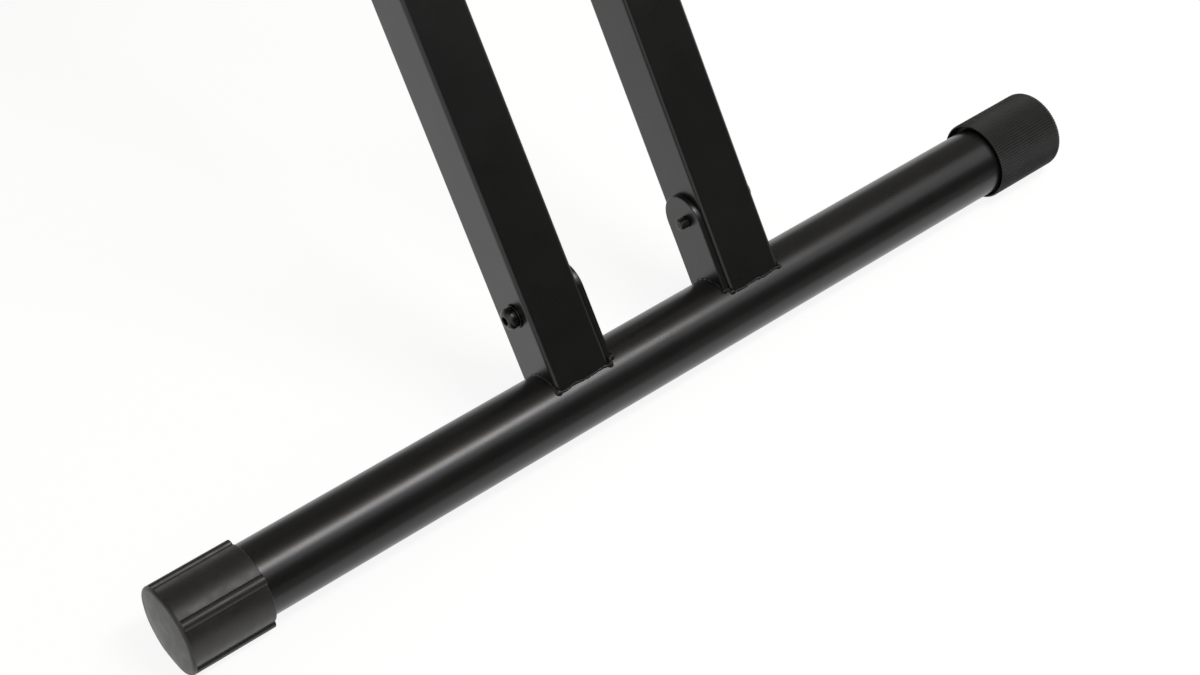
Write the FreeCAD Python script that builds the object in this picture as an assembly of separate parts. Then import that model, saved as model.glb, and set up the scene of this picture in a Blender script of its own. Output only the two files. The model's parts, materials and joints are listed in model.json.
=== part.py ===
import FreeCAD, Part
import math
import os

# Folding keyboard stand: two alike frames, crossed and hinged on one pivot bolt.
#
# X is the way the stand opens, Y runs along the feet and the pivot, and Z is up. The origin is on the
# floor under the pivot, in the middle. Sizes are in millimetres and angles in degrees.
#
# The "right" frame stands on the foot at +X and its legs lean to -X. The "left" frame is the same frame,
# turned half way round Z. A frame is drawn in its own axes: y along the foot tube, z along the legs from
# the foot tube's axis, x square to both, towards the outside of the stand. Its y starts midway between
# its legs.

# ---- stance ------------------------------------------------------------------------------------------
LEAN = 33.8                 # of each leg from upright, as the stand is set up here
PIVOT_TO_TUBE = 460.0       # pivot axis to the axis of the foot tube, and to that of the rest tube
LEG_PITCH = 105.4           # between the middles of a frame's two legs
LEG_GAP = 4.0               # between a leg and its neighbour on the other frame
RUNNING_GAP = 0.3           # end play beside what turns or slides
SLIDING_FIT = 0.06          # radial play of a shaft in its hole

# ---- tubes -------------------------------------------------------------------------------------------
TUBE_R = 17.5
TUBE_WALL = 1.2
LEG_WIDTH = 30.0
LEG_WALL = 1.2
LEG_CORNER_R = 2.5
FOOT_LONG_SIDE = 269.6      # middle of the legs to the tube's end in the lobed cap
FOOT_SHORT_SIDE = 252.3     # middle of the legs to the tube's end in the levelling cap
REST_HALF_LENGTH = 200.0    # middle of the stand to the rest tube's end

# ---- tabs, screws and welds that join legs and tubes -------------------------------------------------
TAB_WIDTH = 26.5
TAB_THICKNESS = 3.0
SCREW_HEIGHT = 47.7         # screw axis from the tube's axis, along the leg
SCREW_FORWARD = 2.0         # screw axis from the leg's middle line, towards the outside of the stand
SCREW_R = 3.0
SCREW_HOLE_PLAY = 0.2       # radial, in the leg and the washers
SCREW_TIP = 5.2             # thread that stands out of the tab
SCREW_HEAD_R = 5.25
SCREW_HEAD_HEIGHT = 3.3
SCREW_HEAD_RIM = 0.6        # height of the head's straight edge
SCREW_CROWN_R = 2.6         # of the flat on top of the head, around the socket
SCREW_CROWN_BULGE = 0.78    # of the head's rounding, out of a straight slope
SOCKET_WIDTH = 4.0          # of the hexagon socket, across its flats
SOCKET_DEPTH = 2.0
SPRING_WASHER_R = 5.1
SPRING_WASHER_THICKNESS = 1.5
SPRING_WASHER_SLIT = 0.8
FLAT_WASHER_R = 6.0
FLAT_WASHER_THICKNESS = 1.2
WELD_R = 1.8
WELD_INSET = 2.4            # end of a straight bead, from the edge of its leg

# ---- lobed cap: the fixed foot end -------------------------------------------------------------------
CAP_WALL = 1.8              # tube to the flat side of the cap's end
CAP_CORNER_R = 13.0
CAP_TURN = 18.0             # from the frame's x to the first rib
CAP_GRIP = 43.0             # length of tube inside the cap
CAP_END_WALL = 4.0
CAP_FLANGE = 4.0            # unrecessed length at the cap's end
CAP_RECESS = 0.4            # panels below the flange's flats
CAP_PANEL_CORNER_R = 16.0
CAP_RIB_WIDTH = 4.0
CAP_RIB_SLOPE = 4.0         # length of the slope at a rib's open end
CAP_RIB_LOW = 3.0           # height of a rib above the tube at its open end
CAP_DOME_R = 160.0
CAP_EDGE_R = 1.2
CAP_SQUASH = 0.95           # how far the rubber is flattened on the floor

# ---- levelling cap: the round foot end ---------------------------------------------------------------
LEVELLER_R = 20.4
LEVELLER_GRIP = 39.9        # length of tube inside the cap
LEVELLER_END_WALL = 3.0
LEVELLER_TURN = 38.0        # of the cap's middle round the tube, from upright towards the stand's outside
LEVELLER_LIP = 1.3          # wall of the open end, around a recess as wide as the cap allows
LEVELLER_RECESS = 6.0       # depth of that recess
LEVELLER_RIBS = 90
LEVELLER_RIB_DEPTH = 0.5
LEVELLER_RIM_R = 1.0        # rounding of the open end
LEVELLER_EDGE_R = 2.5       # rounding of the closed end

# ---- rests: the tubes that carry the keyboard --------------------------------------------------------
SLEEVE_WALL = 3.0
SLEEVE_TO_LEG = 11.3        # sleeve's inner end to the outermost leg face
SLEEVE_EDGE_R = 1.0
STOP_GRIP = 14.0            # length of tube inside the end stop
STOP_WALL = 3.5
STOP_FLANGE_R = 26.0
STOP_FLANGE_WIDTH = 8.0
STOP_END_WALL = 3.0
STOP_EDGE_R = 2.5

# ---- pivot -------------------------------------------------------------------------------------------
PIVOT_R = 5.0
PIVOT_HEAD_WIDTH = 17.0     # across flats, for the head and the nut
PIVOT_HEAD_HEIGHT = 6.4
PIVOT_NUT_HEIGHT = 8.0
PIVOT_NUT_COLLAR_R = 7.0    # collar of the nut that holds the locking ring
PIVOT_NUT_COLLAR_HEIGHT = 2.2
PIVOT_TIP = 2.5             # thread that stands out of the nut
PIVOT_WASHER_R = 11.0
PIVOT_WASHER_THICKNESS = 2.0
BUSH_WALL = 2.5
SPACER_WALL = 4.0

# ---- lock: index disc and plunger --------------------------------------------------------------------
DISC_R = 47.0
DISC_THICKNESS = 3.0
DISC_HOLE_PLAY = 0.2        # radial, on the pivot bolt
LOCK_RADIUS = 39.0          # pivot axis to the plunger's axis
LOCK_STEP = 15.0            # between neighbouring holes of the disc
LOCK_STEPS_CLOSING = 4      # holes on the folding side of the one in use here
LOCK_STEPS_OPENING = 2      # holes on the spreading side
LOCK_PIN_R = 3.0
LOCK_HOLE_PLAY = 0.3        # radial, of the pin in the disc's holes
LOCK_SLEEVE_R = 8.5
LOCK_SLEEVE_WALL = 2.0
LOCK_SLEEVE_FRONT = 4.0     # wall that guides the pin's tip
LOCK_SLEEVE_STANDS_OUT = 6.0
LOCK_COLLAR_THICKNESS = 3.0
LOCK_SPRING_LENGTH = 10.0   # pressed together, with the pin pulled back
LOCK_SPRING_WIRE = 1.6
KNOB_R = 13.0
KNOB_NECK_R = 8.0
KNOB_NECK_LENGTH = 5.0
KNOB_LENGTH = 22.0
KNOB_EDGE_R = 3.0
KNOB_END_WALL = 6.0         # knob past the end of the pin

# ---- worked out from the sizes above -----------------------------------------------------------------
V = FreeCAD.Vector
ORIGIN = V(0, 0, 0)
Y_AXIS = V(0, 1, 0)
Z_AXIS = V(0, 0, 1)
SIN_LEAN = math.sin(math.radians(LEAN))
COS_LEAN = math.cos(math.radians(LEAN))

FRAME_SHIFT = (LEG_WIDTH + LEG_GAP) / 2         # middle of a frame's legs from the middle of the stand
LEG_HALF = LEG_WIDTH / 2
COPE_HEIGHT = math.sqrt(TUBE_R ** 2 - LEG_HALF ** 2)    # where a leg's front face meets its tube
OUTER_FACE = LEG_PITCH / 2 + FRAME_SHIFT + LEG_HALF     # outermost leg faces, from the middle of the stand
INNER_FACE = LEG_PITCH / 2 - FRAME_SHIFT - LEG_HALF     # innermost leg faces

CAP_HALF = TUBE_R + CAP_WALL
CAP_FLAT_TURN = CAP_TURN + 45                   # from the frame's x to the middle of a flat
CAP_TILT = math.radians((CAP_FLAT_TURN + LEAN + 45) % 90 - 45)  # of the lowest flat to the floor
CAP_LOWEST = (CAP_HALF - CAP_CORNER_R) * (math.cos(CAP_TILT) + abs(math.sin(CAP_TILT))) + CAP_CORNER_R
CAP_RIB_TOP = (CAP_HALF - CAP_CORNER_R) * math.sqrt(2) + CAP_CORNER_R   # top of a rib from the axis
AXIS_HEIGHT = CAP_LOWEST - CAP_SQUASH           # foot tube's axis above the floor
LEVELLER_THROW = (LEVELLER_R - AXIS_HEIGHT) / math.cos(math.radians(LEVELLER_TURN))    # off the tube's axis
PIVOT_HEIGHT = AXIS_HEIGHT + PIVOT_TO_TUBE * COS_LEAN
LOCK_TRAVEL = LEG_GAP                           # of the plunger: through the disc, up to the leg behind it


# ---- shapes used by many pieces ----------------------------------------------------------------------
def rod(radius, y0, y1, x=0.0, z=0.0):
    """Solid round bar along Y."""
    return Part.makeCylinder(radius, y1 - y0, V(x, y0, z), Y_AXIS)


def ring(outer_r, inner_r, y0, y1, x=0.0, z=0.0):
    """Round bar along Y with a hole through it."""
    return rod(outer_r, y0, y1, x, z).cut(rod(inner_r, y0, y1, x, z))


def hexagon(across_flats, y0, y1, x=0.0, z=0.0):
    """Six-sided bar along Y."""
    corner_r = across_flats / math.sqrt(3)
    corners = []
    for i in range(7):
        angle = math.radians(60 * i)
        corners.append(V(x + corner_r * math.cos(angle), y0, z + corner_r * math.sin(angle)))
    return Part.Face(Part.makePolygon(corners)).extrude(V(0, y1 - y0, 0))


def rounded_square(half, corner_r, turn, to_space):
    """Face of a square with round corners, turned by an angle; to_space places a flat point."""
    straight = half - corner_r
    middle = straight + corner_r * math.sqrt(0.5)

    def point(u, v, quarter):
        angle = math.radians(turn + 90 * quarter)
        return to_space(u * math.cos(angle) - v * math.sin(angle), u * math.sin(angle) + v * math.cos(angle))

    edges = []
    for quarter in range(4):
        start = point(half, -straight, quarter)
        side_end = point(half, straight, quarter)
        corner = point(middle, middle, quarter)
        corner_end = point(straight, half, quarter)
        edges.append(Part.LineSegment(start, side_end).toShape())
        edges.append(Part.Arc(side_end, corner, corner_end).toShape())
    return Part.Face(Part.Wire(edges))


def revolved(points, x=0.0, z=0.0):
    """Solid turned about an axis along Y; a point is (radius, y), with a third "arc" half way on an arc."""
    places = [V(x + p[0], p[1], z) for p in points]
    edges = []
    count = len(points)
    i = 0
    while i < count:
        if len(points[(i + 1) % count]) == 3:
            edges.append(Part.Arc(places[i], places[(i + 1) % count], places[(i + 2) % count]).toShape())
            i += 2
        else:
            edges.append(Part.LineSegment(places[i], places[(i + 1) % count]).toShape())
            i += 1
    return Part.Face(Part.Wire(edges)).revolve(V(x, 0, z), Y_AXIS, 360)


def rounding(radius, y, edge_r, way):
    """Middle point of the rounded edge of a turned solid, whose end face at y looks the given way."""
    inset = edge_r * (1 - math.sqrt(0.5))
    return (radius - inset, y - way * inset, "arc")


# ---- a frame, in its own axes ------------------------------------------------------------------------
def leg(y):
    """Square tube from foot tube to rest tube, cut to sit on both, with holes for bush and screws."""
    length = 2 * PIVOT_TO_TUBE
    inner_corner_r = max(LEG_CORNER_R - LEG_WALL, LEG_WALL / 2)
    outer = rounded_square(LEG_HALF, LEG_CORNER_R, 0, lambda u, v: V(u, y + v, 0)).extrude(V(0, 0, length))
    inner = rounded_square(LEG_HALF - LEG_WALL, inner_corner_r, 0, lambda u, v: V(u, y + v, 0))
    tube = outer.cut(inner.extrude(V(0, 0, length)))
    y0 = y - LEG_WIDTH
    y1 = y + LEG_WIDTH
    hole_r = SCREW_R + SCREW_HOLE_PLAY
    tube = tube.cut(rod(TUBE_R, y0, y1))
    tube = tube.cut(rod(TUBE_R, y0, y1, 0, length))
    tube = tube.cut(rod(PIVOT_R + BUSH_WALL, y0, y1, 0, PIVOT_TO_TUBE))
    tube = tube.cut(rod(hole_r, y0, y1, SCREW_FORWARD, SCREW_HEIGHT))
    return tube.cut(rod(hole_r, y0, y1, -SCREW_FORWARD, length - SCREW_HEIGHT))


def leg_envelope(y):
    """The leg's outer shape, filled, for cutting what lies against it."""
    return rounded_square(LEG_HALF, LEG_CORNER_R, 0, lambda u, v: V(u, y + v, 0)).extrude(
        V(0, 0, PIVOT_TO_TUBE))


def tab(side):
    """Flat steel tab on a leg's inner face, welded to the tube and threaded for the screw."""
    face_y = side * (LEG_PITCH / 2 - LEG_HALF)
    half = TAB_WIDTH / 2
    corners = [V(-half, face_y, 0), V(-half, face_y, SCREW_HEIGHT), V(0, face_y, SCREW_HEIGHT + half),
               V(half, face_y, SCREW_HEIGHT), V(half, face_y, 0)]
    edges = [Part.LineSegment(corners[0], corners[1]).toShape(),
             Part.Arc(corners[1], corners[2], corners[3]).toShape(),
             Part.LineSegment(corners[3], corners[4]).toShape(),
             Part.LineSegment(corners[4], corners[0]).toShape()]
    plate = Part.Face(Part.Wire(edges)).extrude(V(0, -side * TAB_THICKNESS, 0))
    reach = LEG_PITCH
    plate = plate.cut(rod(TUBE_R, -reach, reach))
    return plate.cut(rod(SCREW_R, -reach, reach, SCREW_FORWARD, SCREW_HEIGHT))


def outwards(shape, side):
    """A piece drawn outwards from y = 0 towards +Y, moved to a leg's outer face."""
    if side < 0:
        shape = shape.mirror(ORIGIN, Y_AXIS)
    return shape.translated(V(SCREW_FORWARD, side * (LEG_PITCH / 2 + LEG_HALF), SCREW_HEIGHT))


def flat_washer(side):
    """Flat washer against the leg's outer face."""
    return outwards(ring(FLAT_WASHER_R, SCREW_R + SCREW_HOLE_PLAY, 0, FLAT_WASHER_THICKNESS), side)


def spring_washer(side):
    """Split spring washer between the flat washer and the screw's head."""
    y0 = FLAT_WASHER_THICKNESS
    y1 = y0 + SPRING_WASHER_THICKNESS
    washer = ring(SPRING_WASHER_R, SCREW_R + SCREW_HOLE_PLAY, y0, y1)
    slit = Part.makeBox(SPRING_WASHER_SLIT, SPRING_WASHER_THICKNESS, SPRING_WASHER_R,
                        V(-SPRING_WASHER_SLIT / 2, y0, 0))
    return outwards(washer.cut(slit), side)


def screw(side):
    """Button-head screw through washers, leg and tab, with a hexagon socket."""
    y0 = FLAT_WASHER_THICKNESS + SPRING_WASHER_THICKNESS
    top = y0 + SCREW_HEAD_HEIGHT
    rim = y0 + SCREW_HEAD_RIM
    slope = math.hypot(SCREW_HEAD_R - SCREW_CROWN_R, top - rim)
    crown = ((SCREW_HEAD_R + SCREW_CROWN_R) / 2 + SCREW_CROWN_BULGE * (top - rim) / slope,
             (rim + top) / 2 + SCREW_CROWN_BULGE * (SCREW_HEAD_R - SCREW_CROWN_R) / slope, "arc")
    tip = -(LEG_WIDTH + TAB_THICKNESS + SCREW_TIP)
    body = revolved([(0, tip), (SCREW_R, tip), (SCREW_R, y0), (SCREW_HEAD_R, y0), (SCREW_HEAD_R, rim),
                     crown, (SCREW_CROWN_R, top), (0, top)])
    return outwards(body.cut(hexagon(SOCKET_WIDTH, top - SOCKET_DEPTH, top)), side)


def welds(side):
    """Beads where a leg and its tab meet the tube: two straight ones and two along the saddle."""
    leg_y = side * LEG_PITCH / 2
    tab_face = side * (LEG_PITCH / 2 - LEG_HALF - TAB_THICKNESS)
    plain_face = side * (LEG_PITCH / 2 + LEG_HALF)
    reach = LEG_HALF - WELD_INSET
    beads = []
    for x in (-LEG_HALF, LEG_HALF):
        beads.append(rod(WELD_R, leg_y - reach, leg_y + reach, x, COPE_HEIGHT))
    for face_y, half_length in ((plain_face, LEG_HALF - WELD_R), (tab_face, TAB_WIDTH / 2 - WELD_R)):
        corner = V(-half_length, face_y - 2 * WELD_R, 0)
        window = Part.makeBox(2 * half_length, 4 * WELD_R, 2 * TUBE_R, corner)
        beads.append(Part.makeTorus(TUBE_R, WELD_R, V(0, face_y, 0), Y_AXIS).common(window))
    joined = [rod(TUBE_R, -LEG_PITCH, LEG_PITCH), leg_envelope(leg_y), tab(side)]
    trimmed = []
    for bead in beads:
        for piece in joined:
            bead = bead.cut(piece)
        trimmed.append(bead)
    return trimmed


def tube_joint():
    """Tabs, welds, screws and washers of both legs at one tube."""
    sides = (-1, 1)
    return {"tabs": [tab(side) for side in sides],
            "welds": welds(-1) + welds(1),
            "screws": [screw(side) for side in sides],
            "spring_washers": [spring_washer(side) for side in sides],
            "flat_washers": [flat_washer(side) for side in sides]}


def cap_prism(half, corner_r, y0, y1):
    """Bar along Y with the lobed cap's rounded-square section."""
    face = rounded_square(half, corner_r, CAP_FLAT_TURN, lambda u, v: V(u, y0, v))
    return face.extrude(V(0, y1 - y0, 0))


def dome_sag(radius):
    """How far the cap's domed end lies behind its crown, at a distance from the axis."""
    return CAP_DOME_R - math.sqrt(CAP_DOME_R ** 2 - radius ** 2)


def lobed_cap():
    """Rubber cap with four ribs and recessed panels, slightly domed at its end."""
    end = -(FOOT_LONG_SIDE + CAP_END_WALL)
    mouth = -FOOT_LONG_SIDE + CAP_GRIP
    full = cap_prism(CAP_HALF, CAP_CORNER_R, end, mouth)
    panels = cap_prism(CAP_HALF - CAP_RECESS, CAP_PANEL_CORNER_R, end, mouth)
    flange = cap_prism(CAP_HALF, CAP_CORNER_R, end, end + CAP_FLANGE)
    reach = 2 * CAP_HALF
    bars = []
    for turn in (CAP_TURN, CAP_TURN + 90):
        bar = Part.makeBox(2 * reach, mouth - end, CAP_RIB_WIDTH, V(-reach, end, -CAP_RIB_WIDTH / 2))
        bar.rotate(ORIGIN, Y_AXIS, -turn)
        bars.append(bar)
    low_r = TUBE_R + CAP_RIB_LOW
    slope = revolved([(0, end), (reach, end), (reach, mouth - 2 * CAP_RIB_SLOPE),
                      (2 * CAP_RIB_TOP - low_r, mouth - 2 * CAP_RIB_SLOPE), (low_r, mouth), (0, mouth)])
    ribs = full.common(bars[0].fuse(bars[1])).common(slope)
    dome = revolved([(0, end), (reach / 2, end + dome_sag(reach / 2), "arc"), (reach, end + dome_sag(reach)),
                     (reach, mouth), (0, mouth)])
    cap = panels.fuse([flange, ribs]).removeSplitter().common(dome)
    rim = [edge for edge in cap.Edges if edge.BoundBox.YMax < end + CAP_FLANGE - CAP_EDGE_R]
    cap = cap.Solids[0].makeFillet(CAP_EDGE_R, rim)
    return cap.cut(rod(TUBE_R, -FOOT_LONG_SIDE, mouth))


def levelling_cap():
    """Ribbed round cap whose middle is off the tube's axis, so that turning it lifts the foot."""
    tube_end = FOOT_SHORT_SIDE
    mouth = tube_end - LEVELLER_GRIP
    end = tube_end + RUNNING_GAP + LEVELLER_END_WALL
    x = LEVELLER_THROW * math.sin(math.radians(LEAN + LEVELLER_TURN))
    z = LEVELLER_THROW * math.cos(math.radians(LEAN + LEVELLER_TURN))
    corners = []
    for i in range(2 * LEVELLER_RIBS + 1):
        radius = LEVELLER_R - LEVELLER_RIB_DEPTH * (i % 2)
        angle = math.pi * i / LEVELLER_RIBS
        corners.append(V(x - radius * math.sin(angle + math.radians(LEAN)), mouth,
                         z - radius * math.cos(angle + math.radians(LEAN))))
    ribbed = Part.Face(Part.makePolygon(corners)).extrude(V(0, end - mouth, 0))
    outline = revolved([(0, mouth), (LEVELLER_R - LEVELLER_RIM_R, mouth),
                        rounding(LEVELLER_R, mouth, LEVELLER_RIM_R, -1),
                        (LEVELLER_R, mouth + LEVELLER_RIM_R), (LEVELLER_R, end - LEVELLER_EDGE_R),
                        rounding(LEVELLER_R, end, LEVELLER_EDGE_R, 1),
                        (LEVELLER_R - LEVELLER_EDGE_R, end), (0, end)], x, z)
    recess = rod(LEVELLER_R - LEVELLER_LIP, mouth, mouth + LEVELLER_RECESS, x, z)
    cap = ribbed.common(outline).cut(recess)
    return cap.cut(rod(TUBE_R + SLIDING_FIT, mouth, tube_end + RUNNING_GAP))


def rest_sleeve(side):
    """Rubber sleeve beside the end stop, on which the keyboard lies."""
    outer_r = TUBE_R + SLEEVE_WALL
    end = REST_HALF_LENGTH - STOP_GRIP
    start = OUTER_FACE + SLEEVE_TO_LEG
    sleeve = revolved([(TUBE_R, start), (outer_r - SLEEVE_EDGE_R, start),
                       rounding(outer_r, start, SLEEVE_EDGE_R, -1),
                       (outer_r, start + SLEEVE_EDGE_R), (outer_r, end), (TUBE_R, end)])
    return rest_end(sleeve, side)


def rest_stop(side):
    """Rubber cap on the rest tube's end, with a flange that keeps the keyboard from sliding off."""
    grip_r = TUBE_R + STOP_WALL
    start = REST_HALF_LENGTH - STOP_GRIP
    end = REST_HALF_LENGTH + STOP_END_WALL
    flange = end - STOP_FLANGE_WIDTH
    stop = revolved([(0, REST_HALF_LENGTH), (TUBE_R, REST_HALF_LENGTH), (TUBE_R, start), (grip_r, start),
                     (grip_r, flange), (STOP_FLANGE_R - STOP_EDGE_R, flange),
                     rounding(STOP_FLANGE_R, flange, STOP_EDGE_R, -1),
                     (STOP_FLANGE_R, flange + STOP_EDGE_R), (STOP_FLANGE_R, end - STOP_EDGE_R),
                     rounding(STOP_FLANGE_R, end, STOP_EDGE_R, 1),
                     (STOP_FLANGE_R - STOP_EDGE_R, end), (0, end)])
    return rest_end(stop, side)


def rest_end(shape, side):
    """A piece drawn at the stand's +Y end, moved to one end of the frame's rest tube."""
    if side < 0:
        shape = shape.mirror(ORIGIN, Y_AXIS)
    return shape.translated(V(0, -FRAME_SHIFT, 2 * PIVOT_TO_TUBE))


def leg_bush(side, inner_r):
    """Sleeve through a leg, around the pivot bolt."""
    middle = side * LEG_PITCH / 2
    return ring(PIVOT_R + BUSH_WALL, inner_r, middle - LEG_HALF, middle + LEG_HALF, 0, PIVOT_TO_TUBE)


def frame_pieces(bush_r):
    """Every piece of one frame, by name, in the frame's own axes."""
    foot_tube = ring(TUBE_R, TUBE_R - TUBE_WALL, -FOOT_LONG_SIDE, FOOT_SHORT_SIDE)
    rest_tube = ring(TUBE_R, TUBE_R - TUBE_WALL, -REST_HALF_LENGTH - FRAME_SHIFT,
                     REST_HALF_LENGTH - FRAME_SHIFT, 0, 2 * PIVOT_TO_TUBE)
    pieces = {"foot_tube": [foot_tube],
              "foot_end_cap": [lobed_cap()],
              "foot_leveller": [levelling_cap()],
              "leg_minus": [leg(-LEG_PITCH / 2)],
              "leg_plus": [leg(LEG_PITCH / 2)],
              "leg_bushes": [leg_bush(side, bush_r) for side in (-1, 1)],
              "rest_tube": [rest_tube],
              "rest_sleeves": [rest_sleeve(side) for side in (-1, 1)],
              "rest_end_stops": [rest_stop(side) for side in (-1, 1)]}
    for name, solids in tube_joint().items():
        pieces["foot_" + name] = solids
        turned = []
        for solid in solids:
            copy = solid.copy()
            copy.rotate(V(0, 0, PIVOT_TO_TUBE), Y_AXIS, 180)
            turned.append(copy)
        pieces["rest_" + name] = turned
    return pieces


def stand_frame(side, bush_r):
    """One frame in the stand's axes, with its legs named by where they stand."""
    foot = V(PIVOT_TO_TUBE * SIN_LEAN, FRAME_SHIFT, AXIS_HEIGHT)
    placement = FreeCAD.Placement(foot, FreeCAD.Rotation(Y_AXIS, -LEAN))
    leg_names = {"leg_minus": "front_leg", "leg_plus": "rear_leg"}
    if side == "left":
        half_turn = FreeCAD.Placement(ORIGIN, FreeCAD.Rotation(Z_AXIS, 180))
        placement = half_turn.multiply(placement)
        leg_names = {"leg_minus": "rear_leg", "leg_plus": "front_leg"}
    nodes = {}
    for name, solids in frame_pieces(bush_r).items():
        placed = []
        for solid in solids:
            copy = solid.copy()
            copy.Placement = placement.multiply(copy.Placement)
            placed.append(copy)
        nodes[side + "_" + leg_names.get(name, name)] = placed
    cap_name = side + "_foot_end_cap"
    reach = 2 * PIVOT_TO_TUBE
    under_floor = Part.makeBox(2 * reach, 2 * reach, CAP_HALF, V(-reach, -reach, -CAP_HALF))
    nodes[cap_name] = [nodes[cap_name][0].cut(under_floor)]
    return nodes


# ---- pivot and lock, in the stand's axes -------------------------------------------------------------
def pivot_bolt():
    """Long hexagon bolt through all four legs, its head at the front."""
    seat = -(OUTER_FACE + RUNNING_GAP + PIVOT_WASHER_THICKNESS)
    tip = OUTER_FACE + PIVOT_WASHER_THICKNESS + PIVOT_NUT_HEIGHT + PIVOT_NUT_COLLAR_HEIGHT + PIVOT_TIP
    head = hexagon(PIVOT_HEAD_WIDTH, seat - PIVOT_HEAD_HEIGHT, seat, 0, PIVOT_HEIGHT)
    return head.fuse(rod(PIVOT_R, seat, tip, 0, PIVOT_HEIGHT)).removeSplitter()


def pivot_nut():
    """Lock nut at the back, with the collar that holds its locking ring."""
    y0 = OUTER_FACE + PIVOT_WASHER_THICKNESS
    y1 = y0 + PIVOT_NUT_HEIGHT
    y2 = y1 + PIVOT_NUT_COLLAR_HEIGHT
    body = hexagon(PIVOT_HEAD_WIDTH, y0, y1, 0, PIVOT_HEIGHT)
    collar = rod(PIVOT_NUT_COLLAR_R, y1, y2, 0, PIVOT_HEIGHT)
    return body.fuse(collar).cut(rod(PIVOT_R, y0, y2, 0, PIVOT_HEIGHT))


def pivot_washers():
    """Steel washers under the bolt's head and its nut."""
    front = -(OUTER_FACE + RUNNING_GAP)
    return [ring(PIVOT_WASHER_R, PIVOT_R, front - PIVOT_WASHER_THICKNESS, front, 0, PIVOT_HEIGHT),
            ring(PIVOT_WASHER_R, PIVOT_R, OUTER_FACE, OUTER_FACE + PIVOT_WASHER_THICKNESS, 0, PIVOT_HEIGHT)]


def pivot_spacer():
    """Tube on the bolt that keeps the two inner legs apart."""
    return ring(PIVOT_R + SPACER_WALL, PIVOT_R, -INNER_FACE, INNER_FACE - RUNNING_GAP, 0, PIVOT_HEIGHT)


def friction_washers():
    """Nylon washers between neighbouring legs, beside the disc at the front and alone at the back."""
    front_leg_face = -(INNER_FACE + LEG_WIDTH)
    rear_leg_face = INNER_FACE + LEG_WIDTH
    disc_face = front_leg_face - DISC_THICKNESS
    far_face = front_leg_face - LEG_GAP + RUNNING_GAP
    near_face = rear_leg_face + RUNNING_GAP
    front = ring(PIVOT_WASHER_R, PIVOT_R, far_face, disc_face, 0, PIVOT_HEIGHT)
    rear = ring(PIVOT_WASHER_R, PIVOT_R, near_face, rear_leg_face + LEG_GAP, 0, PIVOT_HEIGHT)
    return [front, rear]


def on_lock_circle(angle):
    """Place on the circle of the lock's holes, at an angle from upright towards +X."""
    x = LOCK_RADIUS * math.sin(math.radians(angle))
    z = PIVOT_HEIGHT + LOCK_RADIUS * math.cos(math.radians(angle))
    return x, z


def index_disc():
    """Steel disc welded to the right frame's front leg, with a hole for each height of the stand."""
    y1 = -(INNER_FACE + LEG_WIDTH)
    y0 = y1 - DISC_THICKNESS
    disc = rod(DISC_R, y0, y1, 0, PIVOT_HEIGHT).cut(rod(PIVOT_R + DISC_HOLE_PLAY, y0, y1, 0, PIVOT_HEIGHT))
    for step in range(-LOCK_STEPS_CLOSING, LOCK_STEPS_OPENING + 1):
        x, z = on_lock_circle(LEAN + step * LOCK_STEP)
        disc = disc.cut(rod(LOCK_PIN_R + LOCK_HOLE_PLAY, y0, y1, x, z))
    return disc


def lock_pieces():
    """Plunger through the left frame's front leg: sleeve, bush, spring, pin and knob, with the pin pulled."""
    x, z = on_lock_circle(LEAN)
    inner_face = -(OUTER_FACE - LEG_WIDTH)
    sleeve_end = -(OUTER_FACE + LOCK_SLEEVE_STANDS_OUT)
    bore_r = LOCK_SLEEVE_R - LOCK_SLEEVE_WALL
    guide_r = LOCK_PIN_R + SLIDING_FIT
    sleeve = ring(LOCK_SLEEVE_R, guide_r, sleeve_end, inner_face, x, z)
    sleeve = sleeve.cut(rod(bore_r, sleeve_end, inner_face - LOCK_SLEEVE_FRONT, x, z))
    bush_face = -OUTER_FACE
    bush = ring(bore_r, guide_r, sleeve_end, bush_face, x, z)
    collar_y = bush_face + LOCK_SPRING_LENGTH
    spring_r = bore_r - RUNNING_GAP
    spring = ring(spring_r, spring_r - LOCK_SPRING_WIRE, bush_face, collar_y - RUNNING_GAP, x, z)
    knob_face = sleeve_end - LOCK_TRAVEL - RUNNING_GAP
    pin_end = knob_face - KNOB_LENGTH + KNOB_END_WALL
    pin = rod(LOCK_PIN_R, pin_end, inner_face - RUNNING_GAP, x, z)
    collar = rod(bore_r - RUNNING_GAP, collar_y, collar_y + LOCK_COLLAR_THICKNESS, x, z)
    back = knob_face - KNOB_LENGTH
    grip = knob_face - KNOB_NECK_LENGTH
    knob = revolved([(0, knob_face), (0, back), (KNOB_R - KNOB_EDGE_R, back),
                     rounding(KNOB_R, back, KNOB_EDGE_R, -1), (KNOB_R, back + KNOB_EDGE_R),
                     (KNOB_R, grip - KNOB_EDGE_R), rounding(KNOB_R, grip, KNOB_EDGE_R, 1),
                     (KNOB_R - KNOB_EDGE_R, grip), (KNOB_NECK_R, grip), (KNOB_NECK_R, knob_face)], x, z)
    return {"lock_sleeve": [sleeve],
            "lock_bush": [bush],
            "lock_spring": [spring],
            "lock_pin": [pin.fuse(collar).removeSplitter()],
            "lock_knob": [knob.cut(rod(LOCK_PIN_R, pin_end, knob_face, x, z))]}


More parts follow.
